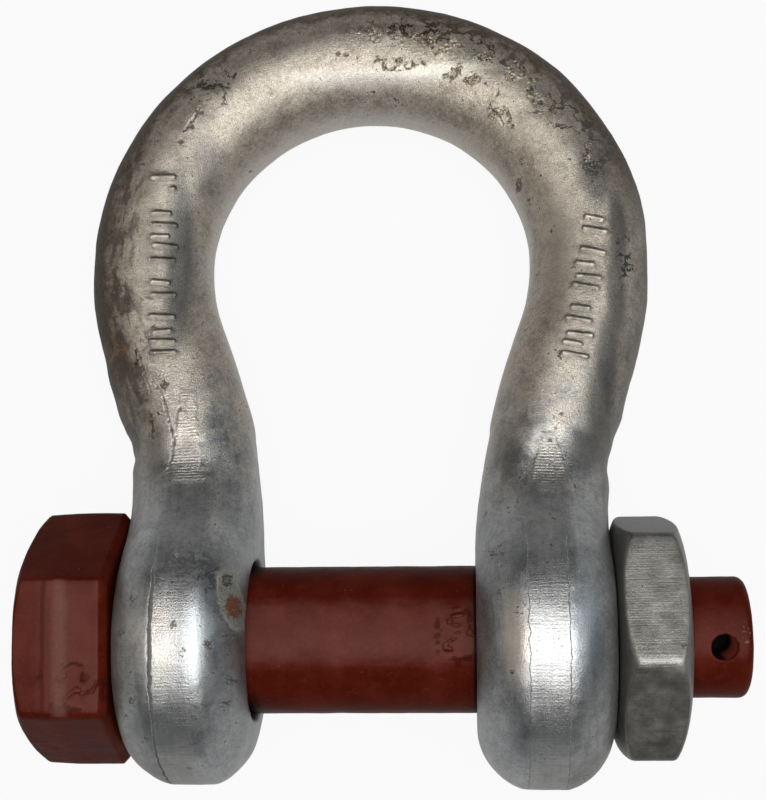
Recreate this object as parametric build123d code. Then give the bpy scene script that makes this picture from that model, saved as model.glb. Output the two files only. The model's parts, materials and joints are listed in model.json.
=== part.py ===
from build123d import *
from math import acos, asin, atan2, cos, degrees, radians, sin, sqrt
import os

# A forged bow shackle with a bolt and a nut, lying on its side as it comes to rest.
# X runs along the bolt, with the head at -X. Y runs towards the crown of the bow. Z is up.
# The origin is the middle of the bolt's load-bearing length. Sizes are in millimetres.
# Each piece is drawn with its bow flat in the XY plane, and turned into its rest at the end.

# Bow
bar_diameter = 37.6
inside_width = 62.0  # between the ears
inside_length = 141.8  # from the bolt's edge to the inside of the crown
bow_width = 98.0  # inside the widest part of the bow
side_flat = 1.2  # depth of the flat that bending leaves on each outer side of the bow
leg_radius = 160.0  # centre line of each leg, where it curves back to the ear
ear_thickness = 38.4
ear_diameter = 86.0  # the forged rim, before the flash is trimmed
neck_height = 58.0  # from the bolt's axis to the end of the ear forging
neck_thickness = 36.4  # at that end, seen along the leg's curve
neck_step = 0.4  # how far the ear forging stands out from the bar
neck_fillet = 30.0  # hollow between the ear and its neck
rim_land = 0.25  # narrow strip left between the two rim rounds
flash_trim = 0.8  # depth of the flat that trimming leaves all round an ear
hole_clearance = 1.0  # round the bolt, in the radius
hole_lip = 1.2  # bevel of the hole's edge

# Bolt
bolt_diameter = 42.0
head_height = 26.3
head_flats = 63.0
head_corner_round = 2.0
head_draft_length = 10.0
head_draft = 1.0  # how far each flat leans in at the outer end
head_bevel = 2.0  # at 45 degrees, all round the underside
head_crown_radius = 32.2  # edge circle of the outer face
head_crown_height = 2.8
head_gap = 0.3  # between the head and the ear
thread_diameter = 39.0
thread_start = 4.0  # from the ear's outer face back into its hole
thread_past_nut = 1.2
shoulder_bevel = 1.0
point_diameter = 34.3
point_length = 17.0  # plain end past the nut
point_round = 2.6
pin_hole_diameter = 8.0
pin_hole_to_end = 8.8
pin_hole_angle = -14.5  # about the bolt, from straight up towards the crown
head_angle = -10.3  # of the flat that looks up

# Nut
nut_thickness = 19.6
nut_flats = 63.2
nut_corner_round = 1.5
nut_face_radius = 28.4  # edge circle of each face
nut_bevel_height = 4.6  # where the cone meets the corners
nut_mouth = 1.6  # bevel at each end of the bore
nut_gap = 0.3  # between the nut and the ear
nut_clearance = 0.1  # on the thread, in the radius
nut_angle = 12.8

# Derived sizes
bar_radius = bar_diameter / 2
bolt_radius = bolt_diameter / 2
hole_radius = bolt_radius + hole_clearance
crown_radius = bow_width / 2 + bar_radius
crown_centre = bolt_radius + inside_length - bow_width / 2
ear_centre = (inside_width + ear_thickness) / 2
ear_face = inside_width / 2 + ear_thickness
neck_width = bar_diameter + 2 * neck_step
rim_round = neck_thickness / 2 - rim_land
leg_turn = degrees(acos((ear_centre + leg_radius) / (crown_radius + leg_radius)))
leg_start = crown_centre - (crown_radius + leg_radius) * sin(radians(leg_turn))
neck_turn = degrees(asin((neck_height - leg_start) / leg_radius))
rest_height = ear_diameter / 2 - flash_trim
rest_tilt = degrees(asin((rest_height - bar_radius) / (crown_centre + crown_radius)))
head_seat = -(ear_face + head_gap)
head_end = head_seat - head_height
nut_seat = ear_face + nut_gap
nut_end = nut_seat + nut_thickness
thread_end = nut_end + thread_past_nut
bolt_end = thread_end + point_length
corner_reach = 2 / sqrt(3)  # from half across flats to half across corners


def leg_point(turn, offset=0.0):
    """Point beside the right leg's centre line, where it has turned this far from the bolt's normal."""
    radius = leg_radius - offset
    x = ear_centre + leg_radius - radius * cos(radians(turn))
    return (x, leg_start + radius * sin(radians(turn)))


def bar():
    start = leg_point(neck_turn)
    bend = leg_point((neck_turn + leg_turn) / 2)
    join = leg_point(leg_turn)
    path = Wire(
        [
            ThreePointArc(start, bend, join),
            ThreePointArc(join, (0, crown_centre + crown_radius), (-join[0], join[1])),
            ThreePointArc((-join[0], join[1]), (-bend[0], bend[1]), (-start[0], start[1])),
        ]
    )
    section = Plane(origin=path @ 0, z_dir=path % 0) * Circle(bar_radius)
    return sweep(section, path)


def ear_outline(inset=0.0):
    """Side view of an ear and its neck, with Y along the neck."""
    rim = ear_diameter / 2 - inset
    half_neck = neck_width / 2 - inset
    hollow = neck_fillet + inset
    centre_x = half_neck + hollow
    centre_y = sqrt((rim + hollow) ** 2 - centre_x**2)
    share = rim / (rim + hollow)
    touch = (centre_x * share, centre_y * share)
    middle = radians(180 + degrees(atan2(centre_y, centre_x)) / 2)
    bend = (centre_x + hollow * cos(middle), centre_y + hollow * sin(middle))
    top = max(neck_height, centre_y) + neck_width
    outline = Wire(
        [
            ThreePointArc((-touch[0], touch[1]), (0, -rim), touch),
            ThreePointArc(touch, bend, (half_neck, centre_y)),
            Line((half_neck, centre_y), (half_neck, top)),
            Line((half_neck, top), (-half_neck, top)),
            Line((-half_neck, top), (-half_neck, centre_y)),
            ThreePointArc((-half_neck, centre_y), (-bend[0], bend[1]), (-touch[0], touch[1])),
        ]
    )
    side = Plane(origin=(0, 0, 0), x_dir=(0, 0, -1), z_dir=(1, 0, 0))
    return extrude(side * Face(outline), 2 * (ear_face + leg_radius), both=True)


def ear_blank():
    """The right ear's thickness, seen from the front, curving and thinning up to the neck's end."""
    low = -ear_diameter
    start = ear_diameter / 4
    starts = [(inside_width / 2, start), (ear_face, start)]
    ends = [leg_point(neck_turn, -neck_thickness / 2), leg_point(neck_turn, neck_thickness / 2)]
    front = Wire(
        [
            Line((inside_width / 2, low), starts[0]),
            TangentArc(starts[0], ends[0], tangent=(0, 1)),
            Line(ends[0], ends[1]),
            TangentArc(starts[1], ends[1], tangent=(0, 1)),
            Line(starts[1], (ear_face, low)),
            Line((ear_face, low), (inside_width / 2, low)),
        ]
    )
    return extrude(Face(front), ear_diameter, both=True)


def ear():
    """The right ear with its neck, round all over but for the flat that trimming the flash leaves."""
    blank = ear_blank() & ear_outline()
    lean = radians(neck_turn)
    neck_end = Plane(origin=(*leg_point(neck_turn), 0), z_dir=(sin(lean), cos(lean), 0))
    crossing = blank.edges().filter_by(Axis.X) + blank.edges().filter_by(Axis.Z)
    outline = [
        edge
        for edge in blank.edges()
        if edge not in crossing and neck_end.to_local_coords(edge.center()).Z < -neck_step
    ]
    return fillet(outline, rim_round) & ear_outline(flash_trim)


def turned(points):
    """Solid of revolution about X from its half outline, given as places along X and radii."""
    closed = [(points[0][0], 0)] + points + [(points[-1][0], 0)]
    return revolve(Face(Wire.make_polygon([Vector(x, r, 0) for x, r in closed])), Axis.X)


def ear_hole():
    """The right ear's hole with its bevelled ends."""
    inner = inside_width / 2
    lip_radius = hole_radius + hole_lip
    return turned(
        [
            (inner - hole_lip, lip_radius + hole_lip),
            (inner + hole_lip, hole_radius),
            (ear_face - hole_lip, hole_radius),
            (ear_face + hole_lip, lip_radius + hole_lip),
        ]
    )


def bow():
    right = ear() - ear_hole()
    body = bar() + right + mirror(right, Plane.YZ)
    reach = crown_radius + bar_radius - side_flat
    return body & Pos(0, crown_centre, 0) * Box(2 * reach, 4 * reach, 4 * bar_diameter)


def hexagon(flats, x, angle):
    """A hexagon across the bolt's axis at this place, with a flat up before it is turned by the angle."""
    across = Plane(origin=(x, 0, 0), x_dir=(0, 0, 1), z_dir=(-1, 0, 0))
    return across * RegularPolygon(flats / 2, 6, major_radius=False, rotation=angle + 180 / 6)


def bolt_head():
    bevelled = head_seat - head_bevel
    drafted = head_end + head_draft_length
    block = extrude(hexagon(head_flats, drafted, head_angle), bevelled - drafted, dir=(1, 0, 0))
    middle = hexagon(head_flats, bevelled, head_angle)
    block += loft([middle, hexagon(head_flats - 2 * head_bevel, head_seat, head_angle)])
    middle = hexagon(head_flats, drafted, head_angle)
    block += loft([middle, hexagon(head_flats - 2 * head_draft, head_end, head_angle)])
    reach = head_flats / 2 * corner_reach - head_corner_round * (corner_reach - 1)
    crown = [
        (head_end, head_crown_radius),
        (head_end + head_crown_height, reach),
        (bevelled, reach),
        (head_seat, reach - head_bevel),
    ]
    return block & turned(crown)


def bolt():
    thread_from = ear_face - thread_start
    thread_radius = thread_diameter / 2
    point_radius = point_diameter / 2
    shaft = turned(
        [
            (head_seat - head_bevel, bolt_radius),
            (thread_from - shoulder_bevel, bolt_radius),
            (thread_from, thread_radius),
            (thread_end - (thread_radius - point_radius), thread_radius),
            (thread_end, point_radius),
            (bolt_end, point_radius),
        ]
    )
    rim = [e for e in shaft.edges().filter_by(GeomType.CIRCLE) if e.center().X > bolt_end - point_round]
    shaft = fillet(rim, point_round)
    drill = Pos(bolt_end - pin_hole_to_end, 0, 0) * Cylinder(pin_hole_diameter / 2, 2 * bolt_diameter)
    return bolt_head() + shaft - Rot(-pin_hole_angle, 0, 0) * drill


def nut():
    block = extrude(hexagon(nut_flats, nut_seat, nut_angle), nut_thickness, dir=(1, 0, 0))
    reach = nut_flats / 2 * corner_reach - nut_corner_round * (corner_reach - 1)
    block &= turned(
        [
            (nut_seat, nut_face_radius),
            (nut_seat + nut_bevel_height, reach),
            (nut_end - nut_bevel_height, reach),
            (nut_end, nut_face_radius),
        ]
    )
    bore = thread_diameter / 2 + nut_clearance
    return block - turned(
        [
            (nut_seat, bore + nut_mouth),
            (nut_seat + nut_mouth, bore),
            (nut_end - nut_mouth, bore),
            (nut_end, bore + nut_mouth),
        ]
    )


os.makedirs("parts", exist_ok=True)
for name, piece in (("bow", bow()), ("bolt", bolt()), ("nut", nut())):
    at_rest = Rot(-rest_tilt, 0, 0) * piece
    export_step(at_rest, f"parts/{name}.step")
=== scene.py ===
import json
import math
import bmesh
import bpy
import numpy as np
from mathutils import Matrix, Vector
from mathutils.bvhtree import BVHTree
from mathutils.kdtree import KDTree


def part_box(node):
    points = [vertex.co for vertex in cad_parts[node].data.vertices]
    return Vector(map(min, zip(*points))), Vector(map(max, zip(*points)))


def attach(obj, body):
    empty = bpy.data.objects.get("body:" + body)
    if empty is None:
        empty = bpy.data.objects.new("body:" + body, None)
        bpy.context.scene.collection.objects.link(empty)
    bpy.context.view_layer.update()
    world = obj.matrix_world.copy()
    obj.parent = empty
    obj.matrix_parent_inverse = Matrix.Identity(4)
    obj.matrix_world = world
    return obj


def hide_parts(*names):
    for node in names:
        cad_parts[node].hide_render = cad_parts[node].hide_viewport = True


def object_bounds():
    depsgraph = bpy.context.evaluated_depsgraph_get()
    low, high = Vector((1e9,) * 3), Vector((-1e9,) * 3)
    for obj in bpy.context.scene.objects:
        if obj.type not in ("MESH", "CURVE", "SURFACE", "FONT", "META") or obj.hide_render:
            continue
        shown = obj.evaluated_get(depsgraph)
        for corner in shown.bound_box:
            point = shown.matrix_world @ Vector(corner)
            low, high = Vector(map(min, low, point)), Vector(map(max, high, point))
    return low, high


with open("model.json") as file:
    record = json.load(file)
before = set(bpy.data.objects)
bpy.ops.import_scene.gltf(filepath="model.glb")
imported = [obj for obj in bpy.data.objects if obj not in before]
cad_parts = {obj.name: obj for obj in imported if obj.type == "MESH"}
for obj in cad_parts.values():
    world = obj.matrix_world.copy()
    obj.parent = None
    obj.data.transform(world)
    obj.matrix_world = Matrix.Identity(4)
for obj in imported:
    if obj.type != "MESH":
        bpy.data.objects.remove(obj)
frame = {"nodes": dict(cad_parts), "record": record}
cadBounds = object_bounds()
mm = 0.001

# The photograph's camera, in millimetres, degrees and the photograph's pixels
photoCamera = {
    "width": 766,
    "height": 800,
    "middle": (383, 400),
    "focalPixels": 1500.4,
    "distance": 435.2,  # from the bolt's middle, along the view
    "aim": (4.05, 69.41),  # of the view's axis past the bolt's middle, to the right and up
    "lean": -14.27,  # of the crown away from the camera
    "swing": -3.38,
    "roll": -0.06,
}


def restTurn():
    # the bow lies tilted on its eyes and its crown, so its plane comes from the seat in the crown
    seats = {mount["name"]: mount for mount in frame["record"]["mounts"]}
    down = seats["crown_seat"]["axis"]
    return math.atan2(down[2], -down[1])


layTilt = restTurn()
toWorld = Matrix.Rotation(-layTilt, 3, "X")  # from the bow's own plane to the way it lies
toBow = toWorld.transposed()


def cameraPose():
    turn = (
        Matrix.Rotation(math.radians(photoCamera["lean"]), 3, "X")
        @ Matrix.Rotation(math.radians(photoCamera["swing"]), 3, "Y")
        @ Matrix.Rotation(math.radians(photoCamera["roll"]), 3, "Z")
    ).transposed()
    across, up = photoCamera["aim"]
    place = toWorld @ (turn @ Vector((across, up, photoCamera["distance"]))) * mm
    return toWorld @ turn, place


viewTurn, viewPlace = cameraPose()


def addCamera():
    lens = bpy.data.cameras.new("photoCamera")
    lens.sensor_fit = "HORIZONTAL"
    lens.sensor_width = 36
    lens.lens = photoCamera["focalPixels"] / photoCamera["width"] * lens.sensor_width
    lens.clip_start = 0.01
    eye = bpy.data.objects.new("photoCamera", lens)
    eye.matrix_world = Matrix.Translation(viewPlace) @ viewTurn.to_4x4()
    bpy.context.scene.collection.objects.link(eye)
    bpy.context.scene.camera = eye


def photoRay(pixel):
    x = (pixel[0] - photoCamera["middle"][0]) / photoCamera["focalPixels"]
    y = (photoCamera["middle"][1] - pixel[1]) / photoCamera["focalPixels"]
    return viewTurn @ Vector((x, y, -1)).normalized()


# Node trees, for materials and for Geometry Nodes alike
class Wire:
    def __init__(self, tree, socket=None):
        self.tree = tree
        self.socket = socket

    def node(self, kind, settings=None, sockets=None, output=0):
        made = self.tree.nodes.new(kind)
        for name, value in (settings or {}).items():
            if name == "stops":
                steps = made.color_ramp.elements
                while len(steps) < len(value):
                    steps.new(0.5)
                for step, (place, colour) in zip(steps, value):
                    step.position = place
                    step.color = colour
            else:
                setattr(made, name, value)
        for name, value in (sockets or {}).items():
            if isinstance(value, Wire):
                self.tree.links.new(value.socket, made.inputs[name])
            else:
                made.inputs[name].default_value = value
        return Wire(self.tree, made.outputs[output] if made.outputs else None)

    def maths(self, operation, *values):
        return self.node("ShaderNodeMath", {"operation": operation}, dict(enumerate(values)))

    def __add__(self, other):
        return self.maths("ADD", self, other)

    def __sub__(self, other):
        return self.maths("SUBTRACT", self, other)

    def __rsub__(self, other):
        return self.maths("SUBTRACT", other, self)

    def __mul__(self, other):
        return self.maths("MULTIPLY", self, other)

    def __truediv__(self, other):
        return self.maths("DIVIDE", self, other)

    def __rtruediv__(self, other):
        return self.maths("DIVIDE", other, self)

    __radd__ = __add__
    __rmul__ = __mul__

    def absolute(self):
        return self.maths("ABSOLUTE", self)

    def root(self):
        return self.maths("SQRT", self)

    def joined(self, x=0.0, y=0.0, z=0.0):
        return self.node("ShaderNodeCombineXYZ", sockets={0: x, 1: y, 2: z})

    def attribute(self, name):
        return self.node("ShaderNodeAttribute", {"attribute_name": name}, output=2)

    def least(self, other):
        return self.maths("MINIMUM", self, other)

    def most(self, other):
        return self.maths("MAXIMUM", self, other)

    def step(self, low, high):
        # 0 below low, 1 above high, eased between them
        return self.node("ShaderNodeMapRange", {"interpolation_type": "SMOOTHSTEP"}, {0: self, 1: low, 2: high})

    def vector(self, operation, *values, output=0):
        return self.node("ShaderNodeVectorMath", {"operation": operation}, dict(enumerate(values)), output)

    def scaled(self, factor):
        return self.node("ShaderNodeVectorMath", {"operation": "SCALE"}, {0: self, "Scale": factor})

    def parts(self):
        return [self.node("ShaderNodeSeparateXYZ", sockets={0: self}, output=i) for i in range(3)]

    def noise(self, scale, detail=3.0, rough=0.55, shift=0.0, output=0):
        place = self.vector("ADD", self, (shift, shift * 0.7, -shift))
        settings = {"Vector": place, "Scale": scale, "Detail": detail, "Roughness": rough}
        return self.node("ShaderNodeTexNoise", sockets=settings, output=output)

    def warped(self, scale, amount, shift):
        # a place, moved to and fro by noise
        drift = self.noise(scale, 2.0, 0.6, shift, 1)
        drift = drift.vector("SUBTRACT", drift, (0.5, 0.5, 0.5)).scaled(amount)
        return self.vector("ADD", self, drift)

    def mixed(self, other, share):
        # two colours, by a share of the second
        other = other if isinstance(other, Wire) else (*other, 1)
        return self.node("ShaderNodeMix", {"data_type": "RGBA"}, {0: share, 6: self, 7: other}, 2)

    def near(self, place, reach):
        # 1 at a place, falling to 0 at its reach along each axis
        away = self.vector("SUBTRACT", self, tuple(place))
        away = self.vector("DIVIDE", away, tuple(reach))
        return 1 - self.vector("LENGTH", away, output=1).step(0.35, 1.0)

    def nearest(self, spots):
        # the distance to the nearest of many spots, as a share of its reach
        shares = [self.vector("DISTANCE", self, place, output=1) / reach for place, reach in spots]
        least = shares[0]
        for share in shares[1:]:
            least = least.least(share)
        return least


# Geometry Nodes: a tree with named inputs, and its result turned into a plain mesh
def newTree(name, inputs):
    tree = bpy.data.node_groups.new(name, "GeometryNodeTree")
    tree.interface.new_socket("Geometry", in_out="INPUT", socket_type="NodeSocketGeometry")
    for label, kind in inputs.items():
        tree.interface.new_socket(label, in_out="INPUT", socket_type="NodeSocket" + kind)
    tree.interface.new_socket("Geometry", in_out="OUTPUT", socket_type="NodeSocketGeometry")
    source = tree.nodes.new("NodeGroupInput")
    ports = {socket.name: Wire(tree, socket) for socket in source.outputs if socket.name}
    return tree, ports


def closeTree(tree, geometry, material):
    start = Wire(tree)
    whole = start.node("GeometryNodeRealizeInstances", sockets={0: geometry})
    dressed = start.node("GeometryNodeSetMaterial", sockets={0: whole, "Material": material})
    end = tree.nodes.new("NodeGroupOutput")
    tree.links.new(dressed.socket, end.inputs[0])


def runTree(piece, tree, values):
    modifier = piece.modifiers.new("nodes", "NODES")
    modifier.node_group = tree
    for item in tree.interface.items_tree:
        if item.in_out == "INPUT" and item.name in values:
            modifier[item.identifier] = values[item.name]
    return settle(piece)


def settle(piece):
    # turns a piece with live modifiers into a plain mesh of the same name
    bpy.context.view_layer.update()
    seen = piece.evaluated_get(bpy.context.evaluated_depsgraph_get())
    mesh = bpy.data.meshes.new_from_object(seen)
    piece.modifiers.clear()
    piece.data = mesh
    mesh.name = piece.name
    return piece


def newPiece(name, points, edges=(), faces=()):
    mesh = bpy.data.meshes.new(name)
    mesh.from_pydata([tuple(p) for p in points], edges, faces)
    mesh.update()
    piece = bpy.data.objects.new(name, mesh)
    bpy.context.scene.collection.objects.link(piece)
    return piece


def faceOutwards(piece):
    work = bmesh.new()
    work.from_mesh(piece.data)
    bmesh.ops.recalc_face_normals(work, faces=work.faces)
    work.to_mesh(piece.data)
    work.free()
    return piece


def smoothed(piece):
    piece.data.polygons.foreach_set("use_smooth", [True] * len(piece.data.polygons))
    piece.data.update()
    return piece


# The bow's own measures, from the frame, in millimetres
bowSizes = {
    "barRadius": 18.8,
    "legRadius": 160.0,
    "sideFlat": 1.2,
    "earMiddle": 50.2,
}


def bowLine():
    low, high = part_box("bow")
    bar = bowSizes["barRadius"]
    crownRadius = (high.x - low.x) / 2 / mm + bowSizes["sideFlat"] - bar
    crownHeight = (high.y / mm - bar) / math.cos(layTilt) - crownRadius
    reach = crownRadius + bowSizes["legRadius"]
    turn = math.acos((bowSizes["earMiddle"] + bowSizes["legRadius"]) / reach)
    return crownRadius, crownHeight, turn, crownHeight - reach * math.sin(turn)


crownRadius, crownHeight, legTurn, legStart = bowLine()


def bowPlace(place):
    # the bow's own coordinates: across, towards the crown, and up from its plane
    return place.node("ShaderNodeVectorRotate", {"rotation_type": "X_AXIS"}, {"Vector": place, "Angle": layTilt})


def barAcross(local):
    # how far outwards of the bar's centre line a place lies
    u, v, _ = local.parts()
    side = u.absolute()
    rise = v - crownHeight
    crown = (side * side + rise * rise).root() - crownRadius
    drop = (v - legStart).most(0.0)
    inward = (bowSizes["earMiddle"] + bowSizes["legRadius"]) - side
    leg = bowSizes["legRadius"] - (inward * inward + drop * drop).root()
    inCrown = v.maths("GREATER_THAN", v, crownHeight - crownRadius * math.sin(legTurn))
    return leg + (crown - leg) * inCrown


def onBow(solid, pixel):
    # where the photograph shows this pixel on the bow, and the surface's direction there
    place, normal, *_ = solid.ray_cast(viewPlace, photoRay(pixel))
    return place, normal


# The strips where shears trimmed the flash off the necks, as the photograph's pixels
shearStrips = {
    "left": {"top": (188, 390), "bottom": (187, 481), "halfWidths": (2.2, 4.8), "raise": 0.16},
    "right": {"top": (549, 432), "bottom": (549, 492), "halfWidths": (2.0, 7.4), "raise": 0.16},
}


def placeStrips(solid):
    for strip in shearStrips.values():
        top, upward = onBow(solid, strip["top"])
        bottom, _ = onBow(solid, strip["bottom"])
        strip["start"] = top / mm
        strip["length"] = (bottom - top).length / mm
        strip["along"] = (bottom - top).normalized()
        strip["across"] = strip["along"].cross(upward).normalized()
        strip["up"] = upward


def stripShares(place, strip):
    # how far along the strip, and 1 inside its outline
    away = place.vector("SUBTRACT", place, tuple(strip["start"]))
    along = away.vector("DOT_PRODUCT", away, tuple(strip["along"]), output=1) / strip["length"]
    across = away.vector("DOT_PRODUCT", away, tuple(strip["across"]), output=1)
    depth = away.vector("DOT_PRODUCT", away, tuple(strip["up"]), output=1)
    ragged = (place.noise(0.35, 2.0) - 0.5) * 2.6
    narrow, wide = strip["halfWidths"]
    half = (narrow + (wide - narrow) * along.maths("POWER", along.most(0.0), 1.3)) + ragged
    inside = 1 - (across.absolute() - half).step(-0.25, 0.25)
    ends = along.step(-0.04, 0.04) * (1 - along.step(0.95, 1.04))
    return along, inside * ends * depth.step(-9.0, -6.0)


# Raised marks: plain bars and pips, drawn as strokes in a box one high and wide
markShapes = {
    "bar": [[(0.5, 0), (0.5, 1)]],
    "short": [[(0.5, 0.3), (0.5, 1)]],
    "pip": [[(0.5, 0.15), (0.5, 0.2)]],
}
markRows = {
    "left": {
        "from": (163, 358),
        "to": (164, 172),
        "height": 6.6,
        "marks": "bar bar short bar - bar short - bar bar short bar short - pip bar".split(),
    },
    "right": {
        "from": (574, 360),
        "to": (598, 212),
        "height": 6.6,
        "marks": "bar short bar bar short - bar bar short bar - bar short".split(),
    },
}


def markStrokes(solid):
    points, edges = [], []
    for row in markRows.values():
        count = len(row["marks"])
        start, end = Vector(row["from"]), Vector(row["to"])
        for i, shape in enumerate(row["marks"]):
            if shape == "-":
                continue
            share = (i + 0.5 + math.sin(i * 5.1) * 0.1) / count
            middle, upward = onBow(solid, tuple(start.lerp(end, share)))
            ahead, _ = onBow(solid, tuple(start.lerp(end, share + 0.1 / count)))
            along = (ahead - middle).normalized()
            across = upward.cross(along).normalized()
            width = row["height"] * 0.5
            for stroke in markShapes[shape]:
                first = len(points)
                uneven = math.sin(i * 2.3) * 0.11, math.sin(i * 3.7) * 0.08
                for a, b in stroke:
                    aside = along * (a - 0.5 + uneven[0] * (b + 0.5)) * width
                    spot = middle + (aside - across * (0.5 - b + uneven[1]) * row["height"]) * mm
                    points.append(solid.find_nearest(spot)[0])
                edges += [(j, j + 1) for j in range(first, len(points) - 1)]
    return points, edges


# Pits and scars left by scale under the zinc: the photograph's pixel, reach and depth in millimetres
pitSpots = [
    ((338, 53), 0.9, 0.4), ((346, 54), 0.9, 0.4), ((538, 78), 1.1, 0.4), ((531, 92), 1.0, 0.45),
    ((541, 101), 1.2, 0.4), ((536, 110), 0.8, 0.35), ((181, 141), 0.9, 0.3), ((192, 126), 1.0, 0.35),
    ((202, 112), 0.9, 0.3), ((180, 408), 0.7, 0.3), ((550, 439), 0.6, 0.3), ((556, 427), 0.6, 0.3),
    ((562, 413), 0.6, 0.3), ((500, 545), 0.8, 0.3), ((500, 566), 0.7, 0.3), ((189, 771), 1.2, 0.3),
]

# Patches crusted with scale: the photograph's pixel, and the reach across and towards the crown in millimetres
crustSpots = [
    ((385, 36), (12, 2.4)), ((425, 41), (9, 2.8)), ((455, 49), (9, 3.4)), ((484, 58), (9, 4)),
    ((512, 70), (6, 4.4)), ((526, 84), (4.4, 6)), ((392, 62), (9, 1.6)), ((416, 69), (7, 1.8)),
    ((458, 75), (7, 3.6)), ((484, 92), (4, 4.4)), ((496, 112), (5, 4)), ((508, 125), (3.4, 3.4)),
    ((537, 106), (4.6, 3.4)), ((587, 152), (2.2, 5)), ((342, 53), (2.8, 1.8)),
]
crustPlaces = []  # the same in the bow's own millimetres, found once the bow is there


# Folds in the forging, as lines of the photograph's pixels
foldLines = [
    [(152, 380), (162, 394), (166, 410), (171, 428), (174, 441), (172, 456), (167, 470)],
    [(137, 352), (143, 372), (150, 392)],
    [(528, 72), (531, 81), (532, 92)],
    [(532, 99), (536, 107), (542, 110)],
    [(497, 84), (498, 93), (492, 101)],
    [(489, 108), (497, 114), (503, 124)],
    [(184, 131), (191, 122), (197, 113), (199, 107)],
]


def foldStrokes(solid):
    points, edges = [], []
    for line in foldLines:
        first = len(points)
        for a, b in zip(line, line[1:]):
            points += [onBow(solid, tuple(Vector(a).lerp(Vector(b), t / 4)))[0] for t in range(4)]
        points.append(onBow(solid, line[-1])[0])
        edges += [(j, j + 1) for j in range(first, len(points) - 1)]
    return points, edges


def flatSpot(solid, pixel):
    # the place of a pixel in the bow's plane, in its own millimetres
    u, v, _ = toBow @ (onBow(solid, pixel)[0] / mm)
    return (u, v, 0.0)


bowWork = {
    "voxel": 1.35,
    "fineReach": 4.6,  # round each mark, strip and pit, where the mesh is made finer
    "fineCuts": 3,
    "Wave Height": 0.34,
    "Wave Size": 21.0,
    "Dent Height": 0.13,
    "Dent Size": 6.5,
    "Grain Height": 0.035,
    "Grain Size": 1.6,
    "Mark Height": 0.5,
    "Mark Width": 0.64,
    "Rib Height": 0.05,
    "Rib Gap": 0.92,
    "Crust Height": 0.62,
    "Fold Depth": 0.3,
    "Fold Width": 0.5,
}
# Where the forging is uneven: the place, reach and push in the bow's own millimetres
bowSets = [
    ((-31, 0, 0), (15, 82, 75), (-1.6, 0, 0)),
    ((88, 98, 0), (28, 56, 34), (-1.3, 0, 0)),
    ((64, 148, 0), (26, 28, 34), (-0.7, -0.9, 0)),
    ((-80, 112, 0), (46, 66, 34), (0.6, 0, 0)),
    ((-34, 48, 0), (13, 30, 34), (0.9, 0, 0)),
    ((-76, 73, 0), (13, 14, 30), (-1.2, 0, 0)),
    ((-71, 55.5, 0), (10, 7, 30), (1, 0, 0)),
    ((70, 54, 0), (12, 12, 30), (-1.4, 0, 0)),
    ((36, 70, 0), (18, 48, 34), (0.7, 0, 0)),
    ((74, 68, 0), (18, 34, 34), (1.1, 0, 0)),
    ((-50, -42, 0), (34, 16, 34), (0, 1.2, 0)),
]


def boxed(geometry):
    # holds a skin inside the solids' own box
    place = geometry.node("GeometryNodeInputPosition")
    low, high = (tuple(corner) for corner in cadBounds)
    held = place.vector("MAXIMUM", place, low)
    held = held.vector("MINIMUM", held, high)
    return geometry.node("GeometryNodeSetPosition", sockets={0: geometry, "Position": held})


def stored(geometry, fields):
    # named attributes on the points, for the materials
    for name, value in fields.items():
        geometry = geometry.node(
            "GeometryNodeStoreNamedAttribute", {"data_type": "FLOAT"}, {0: geometry, "Name": name, "Value": value}
        )
    return geometry


def guideAway(start, guide, target):
    # a guide's geometry, and how far away it is in millimetres
    shape = start.node("GeometryNodeObjectInfo", sockets={"Object": guide}, output=4)
    return shape, start.node("GeometryNodeProximity", {"target_element": target}, {0: shape}, 1) / mm


def settingWires(title, numbers, others):
    # a new tree with its inputs, the position, and the same in millimetres
    tree, ports = newTree(title, {**{name: "Float" for name in numbers}, **others})
    place = next(iter(ports.values())).node("GeometryNodeInputPosition")
    return tree, ports, place, place.scaled(1 / mm)


def rough(place, height, size, detail=2.0, shift=0.0):
    # a noise field of this height and size, in millimetres
    return (place.noise(1 / size, detail, 0.5, shift) - 0.5) * height * 2


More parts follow.
